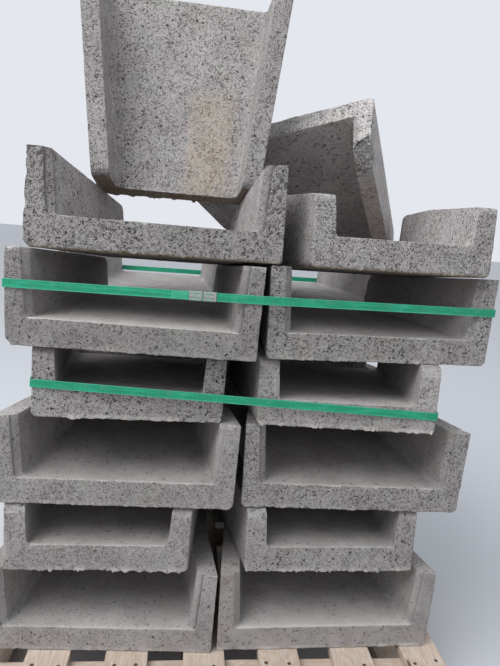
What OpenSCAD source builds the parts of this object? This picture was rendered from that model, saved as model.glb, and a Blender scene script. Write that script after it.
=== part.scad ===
/* [Concrete tray] */
// Width across the wide end
wide_w = 520; // [460:5:560]
// Width across the narrow end
narrow_w = 405; // [360:5:440]
// Length of a tray from end to end
tray_len = 510; // [460:5:520]
// Height of the side walls at the wide end
wide_h = 200; // [180:5:230]
// Height of the side walls at the narrow end
narrow_h = 150; // [135:5:175]
// Thickness of the floor
floor_t = 60; // [45:1:70]
// Thickness of a side wall at its top
wall_top_t = 45; // [35:1:55]
// Lean of the inner wall faces from upright, in degrees
inner_draft = 4; // [0:0.5:6]
// Lean of the outer wall faces from upright, in degrees
outer_draft = 1; // [0:0.25:2]
// Radius of the hollow corner between floor and wall
fillet_r = 18; // [6:1:24]
// Radius of the wall tops' far corner at the narrow end
far_corner_r = 26; // [10:1:35]
// Width of the bevel on the inner edges of the wide mouth
mouth_bevel = 14; // [4:1:20]
// Chamfer along the two lower side edges
foot_chamfer = 10; // [2:1:16]

/* [Pallet] */
// Width of the pallet, left to right
pallet_w = 1140; // [1080:10:1240]
// Depth of the pallet, front to back
pallet_d = 1200; // [1160:10:1280]
// Number of deck boards
deck_count = 7; // [5:1:9]
// Width of a deck board
deck_board_w = 95; // [75:1:110]
// Width of the cross boards, blocks and bottom boards
rail_w = 100; // [80:1:140]
// Thickness of every board
board_t = 22; // [18:1:26]
// Height of the blocks
block_h = 78; // [70:1:100]

/* [Straps] */
// Width of the strap
strap_w = 19; // [12:1:25]
// Thickness of the strap
strap_t = 1; // [0.8:0.1:1.6]
// Length of one crimped seal
seal_len = 27; // [20:1:40]
// Gap between the two seals on the upper strap
seal_gap = 2; // [1:0.5:10]

/* [Hidden] */
deck_top = 3 * board_t + block_h;
deck_pitch = (pallet_w - deck_board_w) / (deck_count - 1);
rail_x = (pallet_w - rail_w) / 2;
rail_y = (pallet_d - rail_w) / 2;

// Slope of the wall tops from the wide end down to the narrow end
slope = atan((wide_h - narrow_h) / tray_len);
// Larger than the whole load, for cutting planes
far = 2400;
// How far each rounding is sunk, so that it crosses the flat faces beside it cleanly
sink = 0.3;
// Clearance that keeps a strap off the corners it turns round
strap_gap = 1.2;

// Each column from the bottom up, as [shift right, shift back, turn].
// The first row is placed on the deck, and each other one on the wall tops below it.
// The top left one is also tipped a little, because its edge rests on the neighbouring stack.
FRONT_LEFT = [[-240, -496, -2], [-9, 7, 2], [36, 0, -1], [18, 4, 3], [3, -27, -4.5], [32, 19, -0.5, 0.8]];
FRONT_RIGHT = [[285, -494, 1], [-4, 10, 0], [38, 0, -2], [-38, -13, -2.5], [63, 13, 7], [18, -24, -0.5]];
REAR_LEFT = [[-238, 44, 1], [-8, 6, -1], [18, -6, -1], [-4, 2, 1.5], [20, -10, -2.5]];
REAR_RIGHT = [[290, 40, -1], [-4, 6, 1], [14, -4, 1], [-4, 0, -2], [9, 31, 3.5]];

// Height of the upper strap at the middle of the load, and its slope from front to back
upper_strap_z = 945;
upper_strap_tilt = [-3, 0];
// Height of the lower strap at the middle of the load, and its slope from left to right
lower_strap_z = 752;
lower_strap_tilt = [0, 2];
// Lean of the upright tray, from square to the wall tops that it stands on
upright_lean = 2.7;
// Place of the seals along the front of the left tray, from its left corner
seal_place = 0.76;

// Rigid placements as matrices, so that the straps can find the trays' corners
function shift(v) = [[1, 0, 0, v[0]], [0, 1, 0, v[1]], [0, 0, 1, v[2]], [0, 0, 0, 1]];
function pitch(a) = [[1, 0, 0, 0], [0, cos(a), -sin(a), 0], [0, sin(a), cos(a), 0], [0, 0, 0, 1]];
function bank(a) = [[cos(a), 0, sin(a), 0], [0, 1, 0, 0], [-sin(a), 0, cos(a), 0], [0, 0, 0, 1]];
function turn(a) = [[cos(a), -sin(a), 0, 0], [sin(a), cos(a), 0, 0], [0, 0, 1, 0], [0, 0, 0, 1]];

// Every second row lies turned round, narrow end to the front
function is_turned(row) = row % 2 == 1;

// The plane of a tray's wall tops, from the tray's own frame
function wall_tops(turned) =
    shift([0, 0, turned ? narrow_h : wide_h]) * pitch(turned ? slope : -slope);

// Frame of a tray: its base's front edge at the middle, with Y to the back and Z off the base
function place(column, row) =
    let (step = column[row])
    (row == 0
        ? shift([0, 0, deck_top])
        : place(column, row - 1) * wall_tops(is_turned(row - 1)))
    * shift([step[0], step[1], 0]) * turn(step[2]) * tipped(len(step) > 3 ? step[3] : 0);

// Tips a tray up about its lower left edge
function tipped(a) =
    shift([foot_chamfer - wide_w / 2, 0, 0]) * bank(-a) * shift([wide_w / 2 - foot_chamfer, 0, 0]);

// Half of the width between a pair of side planes, at the height of the floor's top
function half_at(end_w, end_h, inset, draft) = end_w / 2 - inset - (end_h - floor_t) * tan(draft);

// Everything between two upright planes that close in towards the narrow end and lean outwards
module between_sides(wide_half, narrow_half, z, lean) {
    closing = atan((wide_half - narrow_half) / tray_len);
    intersection() {
        side_space(wide_half, z, closing, lean);
        mirror([1, 0, 0]) side_space(wide_half, z, closing, lean);
    }
}

module side_space(half, z, closing, lean) {
    translate([half, 0, z])
        rotate([0, 0, closing])
            rotate([0, lean, 0])
                translate([-far, -far / 2, -far / 2])
                    cube(far);
}

// Side view of a tray, with the wide end at the left
module side_profile() {
    r = far_corner_r;
    centre_y = tray_len - (r - sink);
    centre_z = wide_h - centre_y * tan(slope) - (r - sink) / cos(slope);
    nose = foot_chamfer / 2;
    difference() {
        polygon([[nose, 0], [tray_len - nose, 0], [tray_len, nose],
                 [tray_len, narrow_h], [0, wide_h], [0, nose]]);
        translate([centre_y, centre_z])
            difference() {
                polygon([[0, 0], [2 * r, 0], [2 * r, 2 * r], [2 * r * tan(slope), 2 * r]]);
                circle(r, $fn = 64);
            }
    }
}

// Full outside of a tray before the channel is taken out
module tray_block() {
    wide_half = half_at(wide_w, wide_h, 0, outer_draft);
    narrow_half = half_at(narrow_w, narrow_h, 0, outer_draft);
    foot_in = foot_chamfer + floor_t * tan(outer_draft);
    intersection() {
        translate([-far / 2, 0, 0])
            rotate([90, 0, 90])
                linear_extrude(far) side_profile();
        between_sides(wide_half, narrow_half, floor_t, outer_draft);
        between_sides(wide_half - foot_in, narrow_half - foot_in, 0, 45);
    }
}

// The channel that water runs in, with hollow corners along the floor and a bevelled mouth
module channel() {
    wide_half = half_at(wide_w, wide_h, wall_top_t, inner_draft);
    narrow_half = half_at(narrow_w, narrow_h, wall_top_t, inner_draft);
    closing = atan((wide_half - narrow_half) / tray_len);
    difference() {
        intersection() {
            translate([-far / 2, -far / 2, floor_t]) cube(far);
            union() {
                between_sides(wide_half, narrow_half, floor_t, inner_draft);
                intersection() {
                    side_space(wide_half + mouth_bevel, floor_t, 45, inner_draft);
                    mirror([1, 0, 0])
                        side_space(wide_half + mouth_bevel, floor_t, 45, inner_draft);
                }
            }
        }
        corner_fillet(wide_half, closing);
        mirror([1, 0, 0]) corner_fillet(wide_half, closing);
    }
}

module corner_fillet(half, closing) {
    rise = fillet_r - sink;
    reach = rise * tan(45 - inner_draft / 2);
    translate([half, 0, floor_t])
        rotate([0, 0, closing])
            translate([0, 2 * tray_len, 0])
                rotate([90, 0, 0])
                    linear_extrude(3 * tray_len)
                        difference() {
                            polygon([[-reach, -1], [1, -1], [fillet_r, fillet_r],
                                     [reach * sin(inner_draft), reach * cos(inner_draft)],
                                     [-reach, rise]]);
                            translate([-reach, rise]) circle(fillet_r, $fn = 64);
                        }
}

module tray() {
    color([0.56, 0.55, 0.53])
        difference() {
            tray_block();
            channel();
        }
}

// A tray lying in its column, wide end to the front unless it is turned round
module stacked_tray(column, row, turned) {
    multmatrix(place(column, row))
        if (turned)
            translate([0, tray_len, 0]) rotate([0, 0, 180]) tray();
        else
            tray();
}

module front_left_tray(i) {
    stacked_tray(FRONT_LEFT, i - 1, is_turned(i - 1) && i < 6);
}

module front_right_tray(i) {
    stacked_tray(FRONT_RIGHT, i - 1, is_turned(i - 1));
}

module rear_left_tray(i) {
    stacked_tray(REAR_LEFT, i - 1, is_turned(i - 1));
}

module rear_right_tray(i) {
    stacked_tray(REAR_RIGHT, i - 1, is_turned(i - 1));
}

// A tray stood on its narrow end across the wall tops of the left one, open side forward,
// leaning back on its rear lower edge against the leaning tray
module upright_tray() {
    multmatrix(place(FRONT_LEFT, 5) * wall_tops(false))
        translate([6, 381, -0.2])
            rotate([90 - upright_lean, 0, 3.6])
                translate([0, tray_len, 0])
                    rotate([0, 0, 180])
                        tray();
}

// A tray tipped face down over the one behind the right-hand stack
module leaning_tray() {
    translate([143.1, -18.6, 1406.6])
        rotate([-140.8, 12.7, 148.3])
            tray();
}

module board(size) {
    color([0.76, 0.65, 0.50]) translate([-size[0] / 2, -size[1] / 2, 0]) cube(size);
}

module deck_board(i) {
    translate([(i - 1) * deck_pitch - (pallet_w - deck_board_w) / 2, 0, deck_top - board_t])
        board([deck_board_w, pallet_d, board_t]);
}

module cross_board(y) {
    translate([0, y, board_t + block_h]) board([pallet_w, rail_w, board_t]);
}

module bottom_board(x) {
    translate([x, 0, 0]) board([rail_w, pallet_d, board_t]);
}

module blocks(x) {
    color([0.70, 0.58, 0.43])
        for (y = [-rail_y, 0, rail_y])
            translate([x - rail_w / 2, y - rail_w / 2, board_t])
                cube([rail_w, rail_w, block_h]);
}

// Outer corners of a tray in its own frame, at a height above its base
function tray_corners(turned, z) =
    let (wide_half = half_at(wide_w, wide_h, 0, outer_draft) + (z - floor_t) * tan(outer_draft),
         narrow_half = half_at(narrow_w, narrow_h, 0, outer_draft) + (z - floor_t) * tan(outer_draft),
         front = turned ? narrow_half : wide_half,
         back = turned ? wide_half : narrow_half)
    [[-front, 0, z, 1], [front, 0, z, 1], [back, tray_len, z, 1], [-back, tray_len, z, 1]];

// Where the same corner edges cross the strap's own plane
function strap_corners(column, row, strap_z, tilt) =
    let (to_strap = pitch(-tilt[0]) * bank(-tilt[1]) * shift([0, 0, -strap_z]) * place(column, row),
         low = tray_corners(is_turned(row), 0),
         high = tray_corners(is_turned(row), narrow_h))
    [for (i = [0:3]) crossing(to_strap * low[i], to_strap * high[i])];

function crossing(a, b) = a - (b - a) * a[2] / (b[2] - a[2]);

// A taut band round the four trays of one row
module strap(row, strap_z, tilt) {
    corners = [for (column = [FRONT_LEFT, FRONT_RIGHT, REAR_LEFT, REAR_RIGHT])
        each strap_corners(column, row, strap_z, tilt)];
    color([0.16, 0.66, 0.50])
        translate([0, 0, strap_z])
            rotate([tilt[0], tilt[1], 0])
                translate([0, 0, -strap_w / 2])
                    linear_extrude(strap_w)
                        difference() {
                            wrap(corners, strap_gap + strap_t);
                            wrap(corners, strap_gap);
                        }
}

// The outline that a string pulled round the points would take, at a distance r from them
module wrap(points, r) {
    hull()
        for (p = points)
            translate([p[0], p[1]]) circle(r, $fn = 24);
}

module upper_strap() {
    strap(4, upper_strap_z, upper_strap_tilt);
}

module lower_strap() {
    strap(3, lower_strap_z, lower_strap_tilt);
}

// Two crimped sleeves side by side on the front run of the upper strap
module strap_seals() {
    ends = strap_corners(FRONT_LEFT, 4, upper_strap_z, upper_strap_tilt);
    run = ends[1] - ends[0];
    middle = ends[0] + seal_place * run;
    translate([0, 0, upper_strap_z])
        rotate([upper_strap_tilt[0], upper_strap_tilt[1], 0])
            translate([middle[0], middle[1], 0])
                rotate([0, 0, atan2(run[1], run[0])])
                    for (side = [-1, 1])
                        translate([side * (seal_len + seal_gap) / 2, -strap_gap - strap_t, 0])
                            seal();
}

// One sleeve: a flat front with its edges folded in behind the strap's two edges
module seal() {
    wall = 1;
    color([0.45, 0.46, 0.46])
        translate([-seal_len / 2, -wall, 0]) {
            translate([0, 0, -strap_w / 2 - wall])
                cube([seal_len, wall, strap_w + 2 * wall]);
            for (edge = [-1, 1])
                translate([0, 0, edge * (strap_w + wall) / 2 - wall / 2])
                    cube([seal_len, wall + strap_t, wall]);
        }
}

for (i = [1:6])
    front_left_tray(i);
for (i = [1:6])
    front_right_tray(i);
for (i = [1:5])
    rear_left_tray(i);
for (i = [1:5])
    rear_right_tray(i);
upright_tray();
leaning_tray();
for (i = [1:deck_count])
    deck_board(i);
cross_board(-rail_y);  // cross_board_front
cross_board(0);  // cross_board_middle
cross_board(rail_y);  // cross_board_rear
blocks(-rail_x);  // blocks_left
blocks(0);  // blocks_middle
blocks(rail_x);  // blocks_right
bottom_board(-rail_x);  // bottom_board_left
bottom_board(0);  // bottom_board_middle
bottom_board(rail_x);  // bottom_board_right
upper_strap();
lower_strap();
strap_seals();
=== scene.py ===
"""Looks of a strapped pallet load of precast concrete drainage trays."""
import math
from types import SimpleNamespace

import bpy
import numpy as np
from mathutils import Matrix, Vector
from mathutils.geometry import convex_hull_2d


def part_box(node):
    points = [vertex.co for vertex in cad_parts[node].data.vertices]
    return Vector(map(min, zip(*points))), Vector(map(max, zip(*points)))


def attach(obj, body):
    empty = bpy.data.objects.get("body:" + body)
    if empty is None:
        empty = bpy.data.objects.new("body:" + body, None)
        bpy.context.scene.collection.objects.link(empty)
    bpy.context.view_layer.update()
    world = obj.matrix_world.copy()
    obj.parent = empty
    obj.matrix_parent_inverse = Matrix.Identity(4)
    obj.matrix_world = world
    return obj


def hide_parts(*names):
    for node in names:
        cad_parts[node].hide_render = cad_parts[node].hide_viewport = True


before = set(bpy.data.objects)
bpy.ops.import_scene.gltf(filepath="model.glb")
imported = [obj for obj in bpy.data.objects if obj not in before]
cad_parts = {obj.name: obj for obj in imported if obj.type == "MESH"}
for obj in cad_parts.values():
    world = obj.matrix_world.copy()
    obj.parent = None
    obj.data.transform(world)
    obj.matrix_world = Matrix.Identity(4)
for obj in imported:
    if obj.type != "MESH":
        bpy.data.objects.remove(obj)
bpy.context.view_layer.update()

# Sizes in millimetres and degrees, as in the CAD. W and H are a tray's width and height at its two ends
WIDE_W, NARROW_W, LENGTH = 520.0, 405.0, 510.0
WIDE_H, NARROW_H, FLOOR_T, WALL_T = 200.0, 150.0, 60.0, 45.0
FAR_R, BEVEL, FOOT = 26.0, 14.0, 10.0
DRAFT_OUT, DRAFT_IN = 1, 4
TAN_OUT, TAN_IN = math.tan(math.radians(DRAFT_OUT)), math.tan(math.radians(DRAFT_IN))
DECK_TOP = 144.0
SLOPE = math.atan((WIDE_H - NARROW_H) / LENGTH)

# Each tray's place on the deck or the tray below, from the bottom up: x, y, its turn, and its tip to the left
COLUMNS = dict(
    front_left=[(-240, -496, -2), (-9, 7, 2), (36, 0, -1), (18, 4, 3), (3, -27, -4.5), (32, 19, -0.5, 0.8)],
    front_right=[(285, -494, 1), (-4, 10, 0), (38, 0, -2), (-38, -13, -2.5), (63, 13, 7), (18, -24, -0.5)],
    rear_left=[(-238, 44, 1), (-8, 6, -1), (18, -6, -1), (-4, 2, 1.5), (20, -10, -2.5)],
    rear_right=[(290, 40, -1), (-4, 6, 1), (14, -4, 1), (-4, 0, -2), (9, 31, 3.5)])


def shift(x, y, z):
    m = np.eye(4)
    m[:3, 3] = x, y, z
    return m


def spin(axis, degrees):
    a, m = math.radians(degrees), np.eye(4)
    i, j = [(1, 2), (2, 0), (0, 1)][axis]
    m[i, i] = m[j, j] = math.cos(a)
    m[i, j], m[j, i] = -math.sin(a), math.sin(a)
    return m


# Turns a tray end for end on its spot
TURN = shift(0, LENGTH, 0) @ spin(2, 180)


def wall_tops(turned):
    """From a tray to the plane on its wall tops. Of a turned tray, the low end is in front."""
    return shift(0, 0, NARROW_H if turned else WIDE_H) @ spin(0, math.degrees(SLOPE if turned else -SLOPE))


def place(column, row):
    """From a tray of a column to the part frame. Every second row is turned."""
    x, y, turn, *tip = column[row]
    below = place(column, row - 1) @ wall_tops((row - 1) % 2 == 1) if row else shift(0, 0, DECK_TOP)
    edge = FOOT - WIDE_W / 2
    tipped = shift(edge, 0, 0) @ spin(1, -sum(tip)) @ shift(-edge, 0, 0)
    return below @ shift(x, y, 0) @ spin(2, turn) @ tipped


# Noise
FACTORS = 374761393, 668265263, 2147483647, 1274126177, 40503
LOW_BITS = 0xFFFFFFFF


def lattice(i, j, k, seed):
    """A fixed random value from -1 to 1 at each whole point."""
    h = (i * FACTORS[0] + j * FACTORS[1] + k * FACTORS[2] + seed * FACTORS[3]) & LOW_BITS
    h = ((h ^ (h >> 13)) * FACTORS[3]) & LOW_BITS
    h = ((h ^ (h >> 15)) * FACTORS[4]) & LOW_BITS
    return ((h >> 8) & 0xFFFF) / 32767.5 - 1


def noise(p, size, seed):
    """Smooth noise from -1 to 1 with lumps of this size. Another seed gives another noise."""
    q = p / size
    i = np.floor(q).astype(np.int64)
    f = q - i
    f = f * f * (3 - 2 * f)
    total = np.zeros(len(q))
    for corner in range(8):
        a, b, c = corner & 1, corner >> 1 & 1, corner >> 2 & 1
        w = np.abs(1 - a - f[:, 0]) * np.abs(1 - b - f[:, 1]) * np.abs(1 - c - f[:, 2])
        total += w * lattice(i[:, 0] + a, i[:, 1] + b, i[:, 2] + c, seed)
    return total


def step_up(x, lo, hi):
    """A soft step from 0 at lo to 1 at hi, which may be the lower of the two."""
    t = np.clip((x - lo) / (hi - lo), 0, 1)
    return t * t * (3 - 2 * t)


# Closed shells in box coordinates. A face is four point numbers, the last -1 where it is a triangle
def turned_over(faces):
    return np.where(faces[:, 3:] < 0, faces[:, [2, 1, 0, 3]], faces[:, ::-1])


def fan(rough0, rough1, fine):
    """Faces between one edge of a rough row and the fine points along it."""
    if len(fine) == 2:
        return [(fine[0], fine[1], rough1, rough0)]
    half = (len(fine) - 1) // 2
    before = [(fine[n], fine[n + 1], rough0, -1) for n in range(half)]
    after = [(fine[n], fine[n + 1], rough1, -1) for n in range(half, len(fine) - 1)]
    return before + [(fine[half], rough1, rough0, -1)] + after


def band(a, b, fine_a, fine_b, count, kept):
    """Faces between two rows, which start at points a and b."""
    if fine_a == fine_b:
        n = count if fine_a else len(kept)
        return [(a + i, a + (i + 1) % n, b + (i + 1) % n, b + i) for i in range(n)]
    fine0, rough0 = (a, b) if fine_a else (b, a)
    made = []
    for i, lo in enumerate(kept):
        hi = kept[i + 1] if i + 1 < len(kept) else count
        fine = [fine0 + n % count for n in range(lo, hi + 1)]
        made += fan(rough0 + i, rough0 + (i + 1) % len(kept), fine)
    return made if fine_a else turned_over(np.array(made)).tolist()


def cap(points, js, ks, s, t, y, at):
    """Faces of one end. Points are added where the rim, which is in at, has none."""
    for j in js:
        for k in ks:
            if (j, k) not in at:
                at[j, k] = len(points)
                points.append((s[j], t[k], y))
    return [(at[j0, k0], at[j0, k1], at[j1, k1], at[j1, k0])
            for j0, j1 in zip(js[:-1], js[1:]) for k0, k1 in zip(ks[:-1], ks[1:])]


def shell(s, keep_s, t, keep_t, rows):
    """Points and faces on the surface of the box s x t x y. rows is [(y, fine)]. A row that isn't fine
    has only the kept values of s and t."""
    ns, nt = len(s) - 1, len(t) - 1
    ring = ([(j, 0) for j in range(ns)] + [(ns, k) for k in range(nt)]
            + [(j, nt) for j in range(ns, 0, -1)] + [(0, k) for k in range(nt, 0, -1)])
    kept = [n for n, (j, k) in enumerate(ring) if (keep_s[j] if k in (0, nt) else keep_t[k])]
    points, faces, start = [], [], []
    for y, fine in rows:
        start.append(len(points))
        points += [(s[ring[n][0]], t[ring[n][1]], y) for n in (range(len(ring)) if fine else kept)]
    for r in range(len(rows) - 1):
        faces += band(start[r], start[r + 1], rows[r][1], rows[r + 1][1], len(ring), kept)
    for end in (0, len(rows) - 1):
        y, fine = rows[end]
        js = [j for j in range(ns + 1) if fine or keep_s[j]]
        ks = [k for k in range(nt + 1) if fine or keep_t[k]]
        rim = {ring[n]: start[end] + i for i, n in enumerate(range(len(ring)) if fine else kept)}
        made = cap(points, js, ks, s, t, y, rim)
        faces += made if end == 0 else [q[::-1] for q in made]
    return np.array(points, float), turned_over(np.array(faces, np.int64))


def rounded(p, size, r):
    """Moves points near the box's edges onto a rounding of radius r."""
    r = np.minimum(r, np.min(size) / 2 - 0.5)[:, None]
    q = np.clip(p, r, size - r)
    d = p - q
    length = np.linalg.norm(d, axis=1, keepdims=True)
    return q + d * (r / np.maximum(length, 1e-9))


def normals_of(v, faces):
    """The normal at each point, from the faces round it."""
    f = np.where(faces < 0, faces[:, 2:3], faces)
    n = np.cross(v[f[:, 2]] - v[f[:, 0]], v[f[:, 3]] - v[f[:, 1]])
    total = np.zeros_like(v)
    for c in range(4):
        on = faces[:, c] >= 0
        for axis in range(3):
            total[:, axis] += np.bincount(faces[on, c], n[on, axis], len(v))
    return total / np.maximum(np.linalg.norm(total, axis=1, keepdims=True), 1e-12)


# Blender objects
def new_object(name, data):
    ob = bpy.data.objects.new(name, data)
    bpy.context.scene.collection.objects.link(ob)
    return ob


def add_mesh(name, v, faces, matrix=np.eye(4), **attributes):
    """A new object from points in millimetres. Its mesh is in metres, and the object stays at the origin."""
    v = v @ matrix[:3, :3].T + matrix[:3, 3]
    corners = (faces >= 0).sum(1)
    me = bpy.data.meshes.new(name)
    me.vertices.add(len(v))
    me.vertices.foreach_set("co", (v / 1000).ravel())
    me.loops.add(int(corners.sum()))
    me.loops.foreach_set("vertex_index", faces[faces >= 0].ravel())
    me.polygons.add(len(faces))
    me.polygons.foreach_set("loop_start", np.concatenate([[0], np.cumsum(corners)[:-1]]))
    me.polygons.foreach_set("use_smooth", np.full(len(faces), True))
    me.update(calc_edges=True)
    for key, value in attributes.items():
        kind, field = ("FLOAT_VECTOR", "vector") if value.ndim == 2 else ("FLOAT", "value")
        me.attributes.new(key, kind, "POINT").data.foreach_set(field, value.ravel())
    return new_object(name, me)


def settle(ob, material, node=None):
    """Gives a piece its material and body, and hides the CAD node that it stands for."""
    ob.data.materials.append(material)
    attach(ob, "root")
    if node:
        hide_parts(node)


def joined(parts):
    """Points and faces of several meshes as one."""
    v, f, base = [], [], 0
    for points, faces in parts:
        v.append(points)
        f.append(np.where(faces < 0, -1, faces + base))
        base += len(points)
    return np.concatenate(v), np.concatenate(f)


# Materials
class Nodes:
    """Short calls for building the node tree of a new material, or of another owner."""

    def __init__(self, name, owner=None):
        self.owner = owner or bpy.data.materials.new(name)
        self.owner.use_nodes = True
        self.tree = self.owner.node_tree

    def add(self, kind, **inputs):
        """A node. Lower-case keys are its settings, i0, i1 and so on its inputs by number, others by name."""
        settings = {k: inputs.pop(k) for k in list(inputs) if k[0].islower() and not k[1:].isdigit()}
        node = self.tree.nodes.new(kind)
        for k, v in settings.items():
            setattr(node, k, v)
        for k, v in inputs.items():
            self.put(node.inputs[int(k[1:]) if k[1:].isdigit() else k], v)
        return node

    def put(self, socket, value):
        if isinstance(value, bpy.types.NodeSocket):
            self.tree.links.new(value, socket)
        else:
            socket.default_value = value

    def surface(self, colour, roughness, normal=None, specular=0.5, metallic=0.0):
        """Fills in the material's shader and returns the material."""
        values = {"Base Color": colour, "Roughness": roughness, "Normal": normal,
                  "Specular IOR Level": specular, "Metallic": metallic}
        for key, value in values.items():
            if value is not None:
                self.put(self.tree.nodes["Principled BSDF"].inputs[key], value)
        return self.owner

    def attribute(self, name):
        node = self.add("ShaderNodeAttribute", attribute_name=name)
        return node.outputs["Vector" if name == "loc" else "Fac"]

    def seen(self):
        """1 for the camera's rays, also mirrored or through glass, and 0 for those that only carry light."""
        rays = self.add("ShaderNodeLightPath").outputs
        seen = self.larger(rays["Is Camera Ray"], rays["Is Glossy Ray"])
        return self.larger(seen, rays["Is Transmission Ray"])

    def stretched(self, at, *scale, **more):
        return self.add("ShaderNodeMapping", Vector=at, Scale=scale, **more).outputs[0]

    def math(self, operation, a, b=0.5, clamp=False):
        return self.add("ShaderNodeMath", operation=operation, use_clamp=clamp, i0=a, i1=b).outputs[0]

    def plus(self, a, b):
        return self.math("ADD", a, b)

    def times(self, a, b, clamp=False):
        return self.math("MULTIPLY", a, b, clamp)

    def larger(self, a, b):
        return self.math("MAXIMUM", a, b)

    def vector(self, operation, *values):
        inputs = {f"i{i}": value for i, value in enumerate(values)}
        return self.add("ShaderNodeVectorMath", operation=operation, **inputs).outputs[0]

    def ramp(self, value, lo, hi, to_lo=0.0, to_hi=1.0):
        """A soft step from to_lo, where the value is lo, to to_hi, where it is hi."""
        return self.add("ShaderNodeMapRange", interpolation_type="SMOOTHSTEP",
                        i0=value, i1=lo, i2=hi, i3=to_lo, i4=to_hi).outputs[0]

    def noise(self, at, scale, detail=2.0, rough=0.5, distort=0.0, output=0):
        return self.add("ShaderNodeTexNoise", Vector=at, Scale=scale, Detail=detail, Roughness=rough,
                        Distortion=distort).outputs[output]

    def cells(self, at, scale, output="Distance"):
        return self.add("ShaderNodeTexVoronoi", Vector=at, Scale=scale).outputs[output]

    def mix(self, fac, a, b, blend="MIX"):
        return self.add("ShaderNodeMix", data_type="RGBA", blend_type=blend, i0=fac, i6=a, i7=b).outputs[2]

    def toned(self, colour, tone):
        grey = self.add("ShaderNodeCombineColor", i0=tone, i1=tone, i2=tone).outputs[0]
        return self.mix(1.0, colour, grey, "MULTIPLY")

    def bump(self, height, distance, strength=1.0):
        return self.add("ShaderNodeBump", Height=height, Distance=distance, Strength=strength).outputs[0]


def rgb(*colour):
    """An sRGB colour, with values from 11 to 255, as linear values."""
    return (*(((c / 255 + 0.055) / 1.055) ** 2.4 for c in colour), 1.0)


# The concrete's pores by size: cells to a metre, the random value from which a cell has one and the value at
# which it is widest, and that width
SMALL_PORES, MIDDLING_PORES = (300, 0.38, 0.58, 0.40), (185, 0.46, 0.64, 0.35)
LARGE_PORES = 95, 0.53, 0.69, 0.26
# The scale of the noise that bends them out of round, and its strength
BEND_SCALE, BEND = 190, 0.016


def specks(n, at, scale, some, most, widest):
    """Pores of one size: 1 within them and 0 elsewhere."""
    size = n.ramp(n.cells(at, scale, "Color"), some, most, 0.0, widest)
    room = n.math("SUBTRACT", n.cells(at, scale), size)
    return n.times(n.ramp(room, 0.04, -0.04), n.ramp(size, 0.02, 0.05))


def concrete_pores(n, at, face, dense):
    """Pores bent out of round, more of them where the face is open and the concrete loose."""
    off = n.vector("SUBTRACT", n.noise(at, BEND_SCALE, 1, output="Color"), (0.5, 0.5, 0.5))
    bent = n.vector("MULTIPLY_ADD", off, (BEND, BEND, BEND), at)
    loose = n.times(n.ramp(face, 0.2, 0.85), n.ramp(dense, 0.62, 0.36, 0.68, 1.0))
    small = n.times(specks(n, bent, *SMALL_PORES), n.plus(n.times(loose, 0.85), 0.15))
    middling = n.times(specks(n, bent, *MIDDLING_PORES), n.plus(n.times(loose, 0.90), 0.10))
    large = n.times(specks(n, bent, *LARGE_PORES), n.ramp(face, 0.05, 0.7, 0.5, 1.0))
    torn = n.times(n.ramp(face, 1.05, 1.5, 0.0, 0.65), n.ramp(n.noise(at, 290, 2, 0.6), 0.58, 0.44))
    # The pit attribute also holds the painted shade in the mouth's groove
    pores = n.larger(n.larger(small, middling), n.larger(large, n.attribute("pit")))
    return n.larger(pores, torn)


def concrete_paste(n, at, elsewhere, dense):
    """The plain concrete, cloudy and here and there a little greener or denser."""
    base = n.mix(n.ramp(n.noise(at, 9, 3, 0.6), 0.35, 0.68), rgb(165, 159, 158), rgb(177, 172, 171))
    base = n.mix(n.ramp(n.noise(elsewhere, 15, 2), 0.48, 0.66, 0.0, 0.45), base, rgb(164, 167, 160))
    return n.mix(n.ramp(dense, 0.30, 0.60), n.mix(1.0, base, rgb(241, 240, 240), "MULTIPLY"), base)


def concrete_stains(n, at, base, gritty):
    """Dry clay, and the earth and damp on the parts that lay in it."""
    clay = n.times(n.attribute("clay"), n.ramp(n.noise(at, 40, 3, 0.6), 0.30, 0.60, 0.16, 0.42))
    base = n.mix(clay, base, rgb(188, 172, 144))
    soil = n.times(n.attribute("soil"), n.ramp(n.noise(at, 26, 4, 0.6), 0.28, 0.60, 0.55, 1.0), clamp=True)
    return n.mix(soil, base, n.mix(n.ramp(gritty, 0.38, 0.60), rgb(98, 83, 66), rgb(160, 142, 120)))


def concrete_material():
    n = Nodes("precast_concrete")
    at, face = n.attribute("loc"), n.attribute("face")
    elsewhere = n.vector("ADD", at, (3.1, 1.7, 5.3))
    dense = n.noise(at, 24, 3, 0.6)
    gritty = n.noise(at, 165, 2, 0.6, 0.5)
    sand = n.noise(at, 560, 1, 0.5)
    # Grains of sand and stone, lighter and darker than the paste
    grains = n.times(n.ramp(n.noise(elsewhere, 420, 1, 0.5), 0.53, 0.64), n.ramp(face, 0.5, 1.0, 0.10, 0.85))
    base = n.mix(grains, concrete_paste(n, at, elsewhere, dense), rgb(210, 206, 203))
    dark = n.times(n.ramp(sand, 0.45, 0.32), n.times(n.ramp(face, 0.1, 0.9, 0.25, 1.0), 0.55))
    base = n.mix(dark, base, rgb(116, 111, 111))
    pores = concrete_pores(n, at, face, dense)
    base = n.mix(n.times(pores, 0.96), base, rgb(52, 49, 49))
    base = concrete_stains(n, at, base, gritty)
    # Pale worn edges, flash and dust, with painted light on the floors near their ends and a painted highlight
    # along the floor's ends
    base = n.mix(n.times(n.attribute("edge"), 0.70), base, rgb(211, 207, 199))
    relief = n.math("SUBTRACT", n.times(n.plus(sand, grains), 0.5), pores)
    relief = n.times(relief, n.ramp(face, 0.0, 1.0, 0.30, 1.0))
    rough = n.ramp(gritty, 0.3, 0.7, 0.82, 0.97)
    return n.surface(n.toned(base, n.attribute("tone")), rough, n.bump(relief, 0.0015), specular=0.28)


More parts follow.
